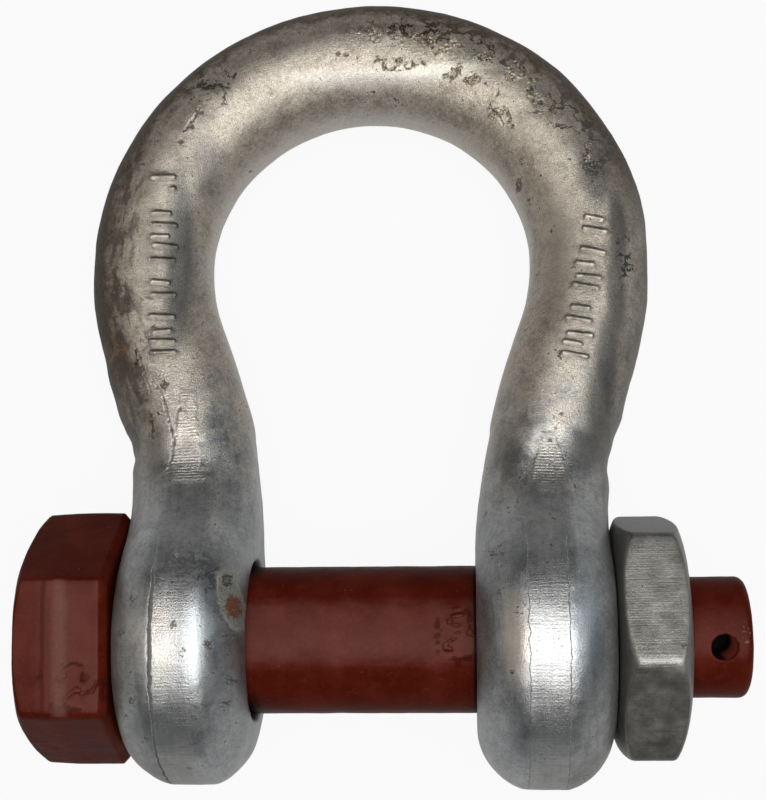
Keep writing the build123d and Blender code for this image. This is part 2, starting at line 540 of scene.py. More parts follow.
def forgedTree():
    tree, ports, _, local = settingWires(
        "forgedSkin",
        [name for name in bowWork if name[0].isupper()],
        {"Strokes": "Object", "Folds": "Object", "Pits": "Object", "Material": "Material"},
    )
    start = Wire(tree)
    metal = bowPlace(local)
    height = rough(local, ports["Wave Height"], ports["Wave Size"], 2.0)
    height = height + rough(local, ports["Dent Height"], ports["Dent Size"], 2.0, 40.0)
    height = height + rough(local, ports["Grain Height"], ports["Grain Size"], 3.0, 80.0)
    _, away = guideAway(start, ports["Strokes"], "EDGES")
    width = ports["Mark Width"]
    worn = 0.7 + local.noise(0.5, 2.0, shift=11.0) * 0.6
    mark = 1 - away.step(width * 0.55, width * 1.25)
    height = height + mark * ports["Mark Height"] * worn
    pits, pitAway = guideAway(start, ports["Pits"], "POINTS")
    near = start.node("GeometryNodeSampleNearest", {"domain": "POINT"}, {0: pits})
    reach = pitValue(start, pits, near, "reach")
    depth = pitValue(start, pits, near, "depth")
    bowl = 1 - (pitAway + rough(local, 0.35, 0.8, 2.0, 5.0)).step(reach * 0.35, reach * 1.1)
    height = height - bowl * depth
    zone = crustZone(metal)
    crags = local.noise(0.62, 4.0, 0.62, 57.0) - 0.5
    crags = crags.absolute().step(0.0, 0.09) - 0.45 + (local.noise(1.6, 2.0, 0.5, 61.0) - 0.5) * 1.2
    height = height + zone.step(0.1, 0.45) * crags * ports["Crust Height"]
    _, split = guideAway(start, ports["Folds"], "EDGES")
    split = split + (local.noise(0.5, 3.0, 0.6, 67.0) - 0.45) * 1.6
    fold = 1 - split.step(ports["Fold Width"] * 0.2, ports["Fold Width"])
    lip = (1 - split.step(ports["Fold Width"], ports["Fold Width"] * 3)) - fold
    height = height - fold * ports["Fold Depth"] + lip * 0.08
    scar = mark * 0.0
    for strip in shearStrips.values():
        along, inside = stripShares(local, strip)
        waver = rough(local, 0.35, 1.6, 2.0, 21.0)
        ribs = ((along * strip["length"] + waver) * (2 * math.pi) / ports["Rib Gap"])
        ribs = ribs.maths("SINE", ribs) * ports["Rib Height"] * (0.4 + local.noise(0.45, 2.0, shift=31.0))
        height = height + inside * (ribs + strip["raise"])
        scar = scar.most(inside)
    push = start.node("GeometryNodeInputNormal").scaled(height * mm)
    for centre, spread, shove in bowSets:
        share = metal.near(centre, spread)
        way = share.joined(*(toWorld @ Vector(shove) * mm))
        push = push.vector("ADD", push, way.scaled(share))
    worked = start.node("GeometryNodeSetPosition", sockets={0: ports["Geometry"], "Offset": push})
    # a ring round each mark, where the material paints shade
    edge = (1 - away.step(width * 1.2, width * 3.2)) - mark
    fields = {"markTop": mark, "markEdge": edge, "pit": bowl, "scar": scar, "crust": zone, "fold": fold}
    closeTree(tree, boxed(stored(worked, fields)), ports["Material"])
    return tree


def crustZone(metal):
    # 1 inside the crusted patches, on the upper side only
    u, v, n = metal.parts()
    flat = metal.joined(u, v).warped(0.11, 16.0, 7.0).warped(0.6, 3.0, 19.0)
    zone = n.step(-3.0, 2.0)
    inside = None
    for spot, reach in crustPlaces:
        share = flat.near(spot, (*reach, 1.0))
        inside = share if inside is None else inside.most(share)
    return zone * inside


def pitValue(start, pits, near, name):
    value = start.node("GeometryNodeInputNamedAttribute", {"data_type": "FLOAT"}, {"Name": name})
    return start.node("GeometryNodeSampleIndex", {"data_type": "FLOAT"}, {0: pits, "Value": value, "Index": near})


def bowSolid():
    # a copy of the frame's bow, and the same as a solid that rays can hit
    mesh = frame["nodes"]["bow"].data.copy()
    work = bmesh.new()
    work.from_mesh(mesh)
    bmesh.ops.remove_doubles(work, verts=work.verts, dist=1e-6)
    work.to_mesh(mesh)
    solid = BVHTree.FromBMesh(work)
    work.free()
    mesh.materials.clear()
    return mesh, solid


def bowSkin(mesh, solid, material):
    piece = bpy.data.objects.new("bowForging", mesh)
    bpy.context.scene.collection.objects.link(piece)
    placeStrips(solid)
    crustPlaces.extend((flatSpot(solid, pixel), reach) for pixel, reach in crustSpots)
    strokes = newPiece("strokes", *markStrokes(solid))
    folds = newPiece("folds", *foldStrokes(solid))
    pits = newPiece("pits", [onBow(solid, pixel)[0] for pixel, _, _ in pitSpots])
    for i, name in enumerate(("reach", "depth")):
        made = pits.data.attributes.new(name, "FLOAT", "POINT")
        made.data.foreach_set("value", [spot[i + 1] for spot in pitSpots])
    skin = piece.modifiers.new("skin", "REMESH")
    skin.mode = "VOXEL"
    skin.voxel_size = bowWork["voxel"] * mm
    ease = piece.modifiers.new("ease", "SMOOTH")
    ease.factor = 0.5
    ease.iterations = 4
    settle(piece)
    refine(piece, [strokes, folds, pits])
    smoothed(piece)
    values = {name: value for name, value in bowWork.items() if name[0].isupper()}
    values.update({"Strokes": strokes, "Folds": folds, "Pits": pits, "Material": material})
    runTree(piece, forgedTree(), values)
    for helper in (strokes, folds, pits):
        bpy.data.objects.remove(helper)
    return piece


def refine(piece, guides):
    # finer faces near the strokes, the pits and the shear strips
    work = bmesh.new()
    work.from_mesh(piece.data)
    spots = []
    for guide in guides:
        places = [v.co.copy() for v in guide.data.vertices]
        for edge in guide.data.edges:
            a, b = places[edge.vertices[0]], places[edge.vertices[1]]
            spots += [a.lerp(b, t / 4) for t in range(5)]
        if not guide.data.edges:
            spots += places
    for strip in shearStrips.values():
        for i in range(12):
            for j in (-1, -0.5, 0, 0.5, 1):
                t = i / 11
                half = strip["halfWidths"][0] + (strip["halfWidths"][1] - strip["halfWidths"][0]) * t
                aside = strip["across"] * half * j
                spots.append((strip["start"] + strip["along"] * strip["length"] * t + aside) * mm)
    tree = KDTree(len(spots))
    for i, spot in enumerate(spots):
        tree.insert(spot, i)
    tree.balance()
    reach = bowWork["fineReach"] * mm / 2

    def crusted(place):
        u, v, n = toBow @ place / mm
        ovals = ((u - x, a + 1, v - y, b + 1) for (x, y, _), (a, b) in crustPlaces)
        return n > 0 and any((across / a) ** 2 + (along / b) ** 2 < 1 for across, a, along, b in ovals)

    fine = {v: tree.find(v.co)[2] < reach or crusted(v.co) for v in work.verts}
    chosen = [e for e in work.edges if all(fine[v] for v in e.verts)]
    bmesh.ops.subdivide_edges(work, edges=chosen, cuts=bowWork["fineCuts"], use_grid_fill=True, smooth=0.0)
    work.to_mesh(piece.data)
    work.free()


# A skin of small waves and dents for the bolt and the nut
creases = [  # place and reach in the bow's own millimetres, and height
    ((-79.0, -15.5, 30.0), (12.0, 8.5, 12.0), 0.6),
    ((25.5, -1.0, 20.0), (7.5, 10.0, 9.0), 0.6),
]


wornSizes = {
    "bolt": {"Wave Height": 0.16, "Wave Size": 9.0, "Grain Height": 0.04, "Grain Size": 1.8, "Shift": 3.0},
    "nut": {"Wave Height": 0.07, "Wave Size": 8.0, "Grain Height": 0.025, "Grain Size": 1.4, "Shift": 37.0},
}


def wornTree():
    tree, ports, place, local = settingWires("wornSkin", list(wornSizes["bolt"]), {"Material": "Material"})
    start = Wire(tree)
    local = local.vector("ADD", local, start.joined(ports["Shift"], ports["Shift"] * 0.6, ports["Shift"] * -0.8))
    height = rough(local, ports["Wave Height"], ports["Wave Size"], 2.0)
    height = height + rough(local, ports["Grain Height"], ports["Grain Size"], 3.0, 60.0)
    own = bowPlace(place.scaled(1 / mm))
    wrinkle = height * 0.0
    for centre, spread, rise in creases:
        fold = (local.warped(0.2, 3.0, 15.0).noise(0.17, 1.0, 0.5, 9.0) - 0.5) * 9
        fold = (1 - fold.absolute().step(0.0, 0.5)) * own.near(centre, spread)
        height = height + fold * rise
        wrinkle = wrinkle.most(fold)
    push = start.node("GeometryNodeInputNormal").scaled(height * mm)
    worked = start.node("GeometryNodeSetPosition", sockets={0: ports["Geometry"], "Offset": push})
    closeTree(tree, boxed(stored(worked, {"wrinkle": wrinkle})), ports["Material"])
    return tree


# Screw threads: a spiral ridge, outwards on the bolt and inwards in the nut
threadSizes = {
    "pitch": 4.0,
    "bolt": {"Root": 17.1, "Depth": 2.3, "Base": 3.4, "Crest": 0.5, "from": 66.4, "to": 91.6, "shift": 0.0},
    "nut": {"Root": 19.65, "Depth": -2.2, "Base": 3.4, "Crest": 0.6, "from": 71.3, "to": 87.7, "shift": 0.5},
}


def threadTree():
    names = ["Root", "Depth", "Base", "Crest", "Turns", "Length", "Turn At Start"]
    tree, ports, *_ = settingWires("screwThread", names, {"Material": "Material"})
    start = Wire(tree)
    root = ports["Root"] * mm
    spiral = start.node(
        "GeometryNodeCurveSpiral",
        sockets={
            "Resolution": 72,
            "Rotations": ports["Turns"],
            "Start Radius": root,
            "End Radius": root,
            "Height": ports["Length"] * mm,
            "Reverse": False,
        },
    )
    spiral = start.node("GeometryNodeSetCurveNormal", {"mode": "Z_UP"}, {0: spiral})
    share = start.node("GeometryNodeSplineParameter", output=0)
    fade = share.step(0.0, 0.04) * (1 - share.step(0.975, 1.0))
    spiral = start.node("GeometryNodeSetCurveRadius", sockets={0: spiral, "Radius": 0.15 + fade * 0.85})
    shape = {"Height": "Depth", "Bottom Width": "Base", "Top Width": "Crest"}
    shape = {socket: ports[name] * mm for socket, name in shape.items()}
    ridge = start.node(
        "GeometryNodeCurvePrimitiveQuadrilateral", {"mode": "TRAPEZOID"}, {**shape, "Offset": 0.0}
    )
    outwards = start.joined(0.0, ports["Depth"] * mm * 0.5)
    ridge = start.node("GeometryNodeTransform", sockets={0: ridge, "Translation": outwards})
    swept = start.node("GeometryNodeCurveToMesh", sockets={0: spiral, 1: ridge, "Fill Caps": True})
    closeTree(tree, swept, ports["Material"])
    return tree


def addThread(name, tree, sizes, material):
    length = sizes["to"] - sizes["from"]
    values = {name: sizes[name] for name in ("Root", "Depth", "Base", "Crest")}
    values.update({"Turns": length / threadSizes["pitch"], "Length": length, "Material": material})
    piece = newPiece(name, [(0, 0, 0)])
    runTree(piece, tree, values)
    turns = (sizes["from"] / threadSizes["pitch"] + sizes["shift"]) * 2 * math.pi
    place = Matrix.Translation((sizes["from"] * mm, 0, 0))
    piece.data.transform(place @ Matrix.Rotation(turns, 4, "X") @ Matrix.Rotation(math.pi / 2, 4, "Y"))
    return faceOutwards(piece)


# Turned and hexagonal pieces, as rings of points round the bolt's axis
def hexReach(angles, halfFlats, turn, sharp):
    # a hexagon's reach at each angle, with a flat up before the turn and rounder corners at a lower sharpness
    total = sum(np.abs(np.cos(angles - turn - i * math.pi / 3)) ** sharp for i in range(3))
    return halfFlats / total ** (1 / sharp)


def softLeast(a, b, soft):
    # the smaller of two reaches, with their meeting edge rounded
    gap = np.clip(0.5 + 0.5 * (b - a) / soft, 0, 1)
    return b + (a - b) * gap - soft * gap * (1 - gap)


def roundOver(distance, radius):
    # how far a rounded edge falls in, at a distance from the face it meets
    inside = min(max(radius - distance, 0), radius)
    return radius - math.sqrt(radius * radius - inside * inside)


def ringPiece(name, rings, count, closed=False):
    # rings is a list of places along the bolt, reaches and rises towards the crown, in millimetres
    angles = np.arange(count) * 2 * math.pi / count
    rows = []
    for x, reach, *rise in rings:
        lift = toWorld @ Vector((0, rise[0] if rise else 0, 0))
        around = reach * np.sin(angles) + lift.y, reach * np.cos(angles) + lift.z
        rows.append(np.stack([np.full(count, x), *around], 1))
    points = np.concatenate(rows) * mm
    faces = []
    for i in range(len(rows) if closed else len(rows) - 1):
        low, high = i * count, (i + 1) % len(rows) * count
        for j in range(count):
            k = (j + 1) % count
            faces.append((low + j, low + k, high + k, high + j))
    if not closed:
        points = np.concatenate([points, [rows[0].mean(0) * mm, rows[-1].mean(0) * mm]])
        first, last, top = len(points) - 2, len(points) - 1, (len(rows) - 1) * count
        for j in range(count):
            k = (j + 1) % count
            faces += [(first, k, j), (last, top + j, top + k)]
    return smoothed(faceOutwards(newPiece(name, points, faces=faces)))


boltSizes = {
    "around": 320,
    "shankRadius": 21.0,
    "headHeight": 26.3,
    "headFlats": 63.9,
    "headTurn": -10.3,
    "headSharp": 50,
    "headRise": 0.8,  # the forged head sits a little off the shank's line
    "draftLength": 10.0,
    "draft": 0.5,
    "bevel": 2.0,
    "crownRadius": 31.9,
    "crownSlope": 2.1,
    "crownSoft": 2.0,
    "edgeRound": 0.9,
    "seatRound": 0.8,
    "threadFrom": 65.4,
    "rootRadius": 17.15,
    "pointRound": 2.6,
    "pointRise": 0.3,
    "pinHoleRadius": 3.8,  # with its coat of paint
    "pinHoleToEnd": 8.8,
    "pinHoleAngle": -14.5,
    "pinHoleLean": 2.0,  # the drill ran a little off square
}


def boltBody():
    low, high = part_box("bolt")
    start, end = low.x / mm, high.x / mm
    s = boltSizes
    angles = np.arange(s["around"]) * 2 * math.pi / s["around"]
    turn = math.radians(s["headTurn"]) + layTilt
    seat = start + s["headHeight"]
    rise = s["headRise"]

    def headReach(x):
        lean = s["draft"] * max(0, 1 - (x - start) / s["draftLength"])
        under = max(0, s["bevel"] - (seat - x))
        flats = hexReach(angles, s["headFlats"] / 2 - lean - under, turn, s["headSharp"])
        cone = s["crownRadius"] + s["crownSlope"] * (x - start)
        eased = softLeast(flats, cone, s["crownSoft"]) - roundOver(x - start, s["edgeRound"])
        return eased - roundOver(seat - x, s["seatRound"])

    rings = [(start, headReach(start) * t, rise) for t in np.linspace(0.04, 1, 14)]
    near = (0.1, 0.25, 0.45, 0.7, 1.0, 1.4, 1.9, 2.5, 3.2, 4.0)
    rings += [(start + d, headReach(start + d), rise) for d in near]
    rings += [(x, headReach(x), rise) for x in np.arange(start + 4.8, seat - 3.8, 0.8)]
    near = (3.6, 3.2, 3.0, 2.8, 2.6, 2.3, 1.9, 1.4, 1.0, 0.7, 0.45, 0.25, 0.1, 0)
    rings += [(seat - d, headReach(seat - d), rise) for d in near]
    under = headReach(seat)
    rings += [(seat, under + (s["shankRadius"] - under) * t, rise * (1 - t)) for t in (0.25, 0.5, 0.75, 1)]
    rings += [(x, s["shankRadius"]) for x in np.arange(seat + 1.0, s["threadFrom"] - 1.6, 1.1)]
    fall = s["shankRadius"] - s["rootRadius"]
    shoulder = s["threadFrom"] - 1.3
    rings += [(shoulder + fall * t * 0.6, s["shankRadius"] - fall * t) for t in (0, 0.25, 0.5, 0.75, 1)]
    bend = s["pointRise"]
    for x in np.arange(s["threadFrom"] + 2, end - s["pointRound"] - 0.4, 0.8):
        rings.append((x, s["rootRadius"], bend * min(1, max(0, (x - end + 26) / 8))))
    r = s["pointRound"]
    core = s["rootRadius"] - r
    rings += [(end - r + r * math.sin(t), core + r * math.cos(t), bend) for t in np.linspace(0, math.pi / 2, 8)]
    rings += [(end, core * t, bend) for t in (0.8, 0.6, 0.4, 0.2, 0.05)]
    body = ringPiece("boltBody", rings, s["around"])
    drill = ringPiece("drill", [(x, s["pinHoleRadius"]) for x in (-30, 30)], 48)
    square = math.pi / 2 + math.radians(s["pinHoleLean"])
    turned = toWorld @ Matrix.Rotation(math.radians(-s["pinHoleAngle"]), 3, "X") @ Matrix.Rotation(square, 3, "Y")
    drill.data.transform(Matrix.Translation(((end - s["pinHoleToEnd"]) * mm, 0, 0)) @ turned.to_4x4())
    cut = body.modifiers.new("pinHole", "BOOLEAN")
    cut.object = drill
    cut.operation = "DIFFERENCE"
    settle(body)
    bpy.data.objects.remove(drill)
    return body


nutSizes = {
    "around": 360,
    "flats": 63.8,
    "turn": 12.8,
    "sharp": 60,
    "rise": 1.1,
    "faceRadius": 28.4,
    "bevelHeight": 5.0,
    "cornerReach": 36.7,
    "cornerSoft": 0.9,
    "edgeRound": 0.7,
    "boreRadius": 19.65,
    "mouth": 1.6,
}


def nutBody():
    low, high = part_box("nut")
    start, end = low.x / mm, high.x / mm
    s = nutSizes
    angles = np.arange(s["around"]) * 2 * math.pi / s["around"]
    turn = math.radians(s["turn"]) + layTilt
    flats = hexReach(angles, s["flats"] / 2, turn, s["sharp"])
    bore, mouth, rise = s["boreRadius"], s["mouth"], s["rise"]

    def reach(x):
        deep = min(x - start, end - x)
        rest = max(0, 1 - deep / s["bevelHeight"])
        dome = s["cornerReach"] - (s["cornerReach"] - s["faceRadius"]) * rest * rest
        return softLeast(flats, dome, s["cornerSoft"]) - roundOver(deep, s["edgeRound"])

    edge = [0, 0.06, 0.15, 0.3, 0.5, 0.75, 1.1, 1.5, 2.0, 2.6, 3.2, 3.8, 4.4, 5.0]
    sides = [start + d for d in edge] + list(np.arange(start + 5.8, end - 5.7, 0.8)) + [end - d for d in edge[::-1]]
    rings = [(start + mouth, bore), (start + mouth / 2, bore + mouth / 2), (start, bore + mouth)]
    rings += [(start, (bore + mouth) * (1 - t) + reach(start) * t, rise * t) for t in (0.25, 0.5, 0.75)]
    rings += [(x, reach(x), rise) for x in sides]
    rings += [(end, (bore + mouth) * (1 - t) + reach(end) * t, rise * t) for t in (0.75, 0.5, 0.25)]
    rings += [(end, bore + mouth), (end - mouth / 2, bore + mouth / 2), (end - mouth, bore)]
    rings += [(x, bore) for x in np.linspace(end - mouth, start + mouth, 8)[1:-1]]
    return ringPiece("nutBody", rings, s["around"], closed=True)


# Materials
def newMaterial(name):
    made = bpy.data.materials.new(name)
    made.use_nodes = True
    made.node_tree.nodes.clear()
    start = Wire(made.node_tree)
    return made, start, start.node("ShaderNodeTexCoord", output=3).scaled(1 / mm)


def tones(field, dark, middle, light):
    stops = [(0.30, (*dark, 1)), (0.5, (*middle, 1)), (0.72, (*light, 1))]
    return field.node("ShaderNodeValToRGB", {"stops": stops}, {0: field})


def finishMaterial(start, height, bumps, sockets):
    strength, distance = bumps
    normal = start.node("ShaderNodeBump", sockets={"Strength": strength, "Distance": distance, "Height": height})
    shader = start.node("ShaderNodeBsdfPrincipled", sockets={**sockets, "Normal": normal})
    start.node("ShaderNodeOutputMaterial", sockets={0: shader})


# Dark specks in the zinc: their reach in millimetres and the photograph's pixels
speckSpots = {
    0.5: [(573, 246)],
    0.6: [(182, 89), (203, 106), (188, 157), (547, 176), (553, 192), (568, 373)],
    0.7: [(522, 161), (538, 275), (526, 329), (577, 268), (193, 375), (537, 600), (510, 580)],
    0.8: [(216, 73), (192, 122), (176, 143), (358, 56), (577, 275), (182, 658), (538, 594), (533, 720),
        (500, 592), (190, 570), (178, 556), (505, 585)],
    0.9: [(250, 52), (222, 68), (198, 111), (184, 131), (366, 31), (129, 166), (143, 163), (110, 230),
        (529, 203), (127, 716), (146, 740), (500, 554), (537, 587), (483, 600), (484, 633), (586, 777)],
    1.0: [(195, 116), (595, 288), (183, 650)],
    1.1: [(164, 108), (520, 187), (533, 714)],
    1.2: [(155, 142), (121, 187), (519, 182)],
    1.3: [(360, 28), (628, 238), (541, 103), (172, 625), (493, 553)],
    1.4: [(587, 152), (120, 633), (230, 680), (228, 634)],
    1.5: [(532, 88), (208, 645)],
    1.6: [(225, 703), (133, 700)],
    1.7: [(133, 600)],
}
# Stains on the bow: the photograph's pixel, the reach across and towards the crown, a colour and its share
stainSpots = [
    ((400, 28), (16, 6), (0.075, 0.055, 0.037), 0.8),
    ((450, 34), (24, 7), (0.085, 0.062, 0.04), 0.85),
    ((510, 55), (16, 10), (0.085, 0.065, 0.045), 0.8),
    ((560, 95), (9, 14), (0.07, 0.06, 0.05), 0.75),
    ((577, 115), (6, 10), (0.045, 0.038, 0.032), 0.8),
    ((206, 82), (15, 12), (0.036, 0.028, 0.019), 0.85),
    ((425, 24), (30, 4.5), (0.06, 0.041, 0.023), 0.8),
    ((485, 40), (20, 6), (0.065, 0.044, 0.026), 0.8),
    ((592, 150), (7, 15), (0.075, 0.072, 0.068), 0.8),
    ((124, 310), (4, 14), (0.06, 0.052, 0.043), 0.7),
    ((157, 421), (1.8, 7), (0.05, 0.036, 0.026), 0.85),
    ((177, 411), (0.9, 3.6), (0.06, 0.042, 0.03), 0.8),
    ((119, 345), (3.2, 13), (0.20, 0.11, 0.05), 0.7),
    ((112, 300), (3, 12), (0.09, 0.06, 0.04), 0.8),
    ((138, 366), (4.2, 9), (0.035, 0.03, 0.026), 0.9),
    ((155, 386), (3.2, 8), (0.05, 0.045, 0.04), 0.8),
    ((146, 320), (3, 14), (0.11, 0.10, 0.085), 0.6),
    ((624, 265), (3.6, 12), (0.035, 0.032, 0.029), 0.9),
    ((212, 588), (4.5, 10), (0.05, 0.052, 0.054), 0.62),
    ((185, 565), (9, 6), (0.13, 0.137, 0.142), 0.6),
    ((188, 771), (5.2, 2.4), (0.14, 0.135, 0.105), 0.8),
    ((248, 737), (2.2, 3.2), (0.20, 0.19, 0.12), 0.6),
    ((203, 742), (2.6, 2.6), (0.13, 0.12, 0.10), 0.6),
]
# An oval scar on the left eye, with rust and a dark hollow in it: places as pixels and reaches in millimetres
eyeScar = {
    "pixel": (229, 598),
    "reach": (3.1, 9.6),
    "lean": 0.2,
    "rust": ((232, 606), (2.4, 4.6)),
    "hollow": ((226, 580), (1.7, 2.6)),
}
# Soft spots of colour, most of them painted light: warm and cool painted reflections across the eyes, painted
# highlights along the lit middle of the bars and on the crown's ridge, dark painted reflections in bands down the
# legs, and painted shade at the eyes' lower ends and sides; the one at (213, 586) is a dark smudge
paintedLightAndSmudges = [  # soft ones, the same way
    ((160, 640), (5.5, 17), (0.66, 0.58, 0.51), 0.4),
    ((192, 640), (4.5, 16), (0.58, 0.63, 0.66), 0.4),
    ((517, 640), (5, 18), (0.50, 0.43, 0.37), 0.5),
    ((588, 640), (5, 18), (0.42, 0.48, 0.52), 0.5),
    ((165, 735), (12, 9), (0.20, 0.225, 0.245), 0.5),
    ((213, 586), (5, 12), (0.11, 0.115, 0.12), 0.6),
    ((597, 655), (3.4, 14), (0.13, 0.135, 0.14), 0.5),
    ((540, 745), (12, 9), (0.20, 0.225, 0.245), 0.5),
    ((180, 265), (5.5, 42), (0.105, 0.110, 0.112), 0.75),
    ((150, 250), (4, 30), (0.30, 0.27, 0.23), 0.35),
    ((205, 165), (6, 14), (0.15, 0.155, 0.155), 0.5),
    ((560, 250), (8, 30), (0.52, 0.47, 0.41), 0.5),
    ((618, 228), (4.2, 17), (0.085, 0.087, 0.085), 0.8),
    ((616, 290), (4.4, 21), (0.085, 0.087, 0.085), 0.75),
    ((607, 356), (4.8, 19), (0.085, 0.087, 0.085), 0.8),
    ((590, 315), (4, 18), (0.26, 0.245, 0.225), 0.35),
    ((600, 410), (6, 22), (0.10, 0.10, 0.097), 0.7),
    ((583, 452), (8, 9), (0.10, 0.10, 0.096), 0.7),
    ((505, 450), (5, 12), (0.12, 0.11, 0.10), 0.4),
    ((158, 450), (5, 12), (0.15, 0.135, 0.115), 0.5),
    ((435, 69), (26, 2.6), (0.82, 0.79, 0.70), 0.5),
    ((462, 84), (12, 3.0), (0.34, 0.30, 0.25), 0.35),
    ((595, 170), (7, 16), (0.11, 0.11, 0.108), 0.6),
    ((380, 78), (40, 4), (0.70, 0.70, 0.68), 0.4),
]


# Colours of the zinc, with three for a dark, a middle and a light tone
zincTones = {
    "bow": ((0.22, 0.19, 0.155), (0.47, 0.425, 0.36), (0.76, 0.71, 0.63)),
    "eye": ((0.17, 0.178, 0.185), (0.36, 0.372, 0.38), (0.60, 0.62, 0.63)),
    # painted shade for surfaces that turn away from overhead
    "aside": ((0.07, 0.066, 0.06), (0.13, 0.125, 0.117), (0.23, 0.222, 0.21)),
    # painted reflection on the bar's inner side
    "inside": (0.62, 0.60, 0.56),
    # painted shade with brown staining, for the bow's outer side
    "outerShadeAndStain": ((0.025, 0.0165, 0.0095), (0.054, 0.037, 0.022), (0.115, 0.086, 0.058)),
    "mottle": (0.062, 0.053, 0.043),
    "crust": ((0.05, 0.034, 0.022), (0.14, 0.10, 0.065), (0.32, 0.26, 0.18)),
    # painted highlight on the crusts' lips
    "lip": (0.74, 0.67, 0.50),
    # painted shade in the crusts' cracks, over dark scale
    "crackShade": (0.022, 0.016, 0.012),
    "blot": (0.055, 0.047, 0.04),
    "speck": (0.035, 0.028, 0.022),
    # painted shade in the eyes' bores
    "hole": (0.02, 0.016, 0.013),
    # painted shade along the edge of the trimmed band
    "bandEdgeShade": (0.03, 0.026, 0.022),
    "brushed": ((0.30, 0.29, 0.28), (0.45, 0.44, 0.42), (0.62, 0.61, 0.59)),
    "scar": ((0.08, 0.082, 0.068), (0.155, 0.155, 0.13), (0.27, 0.27, 0.23)),
    "scarEdge": (0.36, 0.35, 0.30),
    "scarHollow": (0.045, 0.043, 0.036),
    "rust": ((0.05, 0.022, 0.012), (0.13, 0.042, 0.018), (0.26, 0.10, 0.04)),
}
zincMarks = {  # attributes of the skin, each with its colour and share
    # painted shade in a ring round each raised mark
    "markEdge": ((0.10, 0.09, 0.08), 0.55),
    # painted highlight on the raised marks' tops
    "markTop": ((0.80, 0.78, 0.74), 0.55),
    "fold": ((0.035, 0.026, 0.020), 0.9),
    "pit": ((0.055, 0.042, 0.032), 0.85),
    "scar": ((0.60, 0.55, 0.49), 0.2),
}
zincSizes = {
    "rimRadius": 42.0,
    "bandHalf": 5.3,  # of the trimmed band round each eye
    # painted shade round each eye's bore
    "holeRadius": (22.4, 24.0),  # dark within the first, clean past the second
    "bumps": (0.6, 0.0004),
}


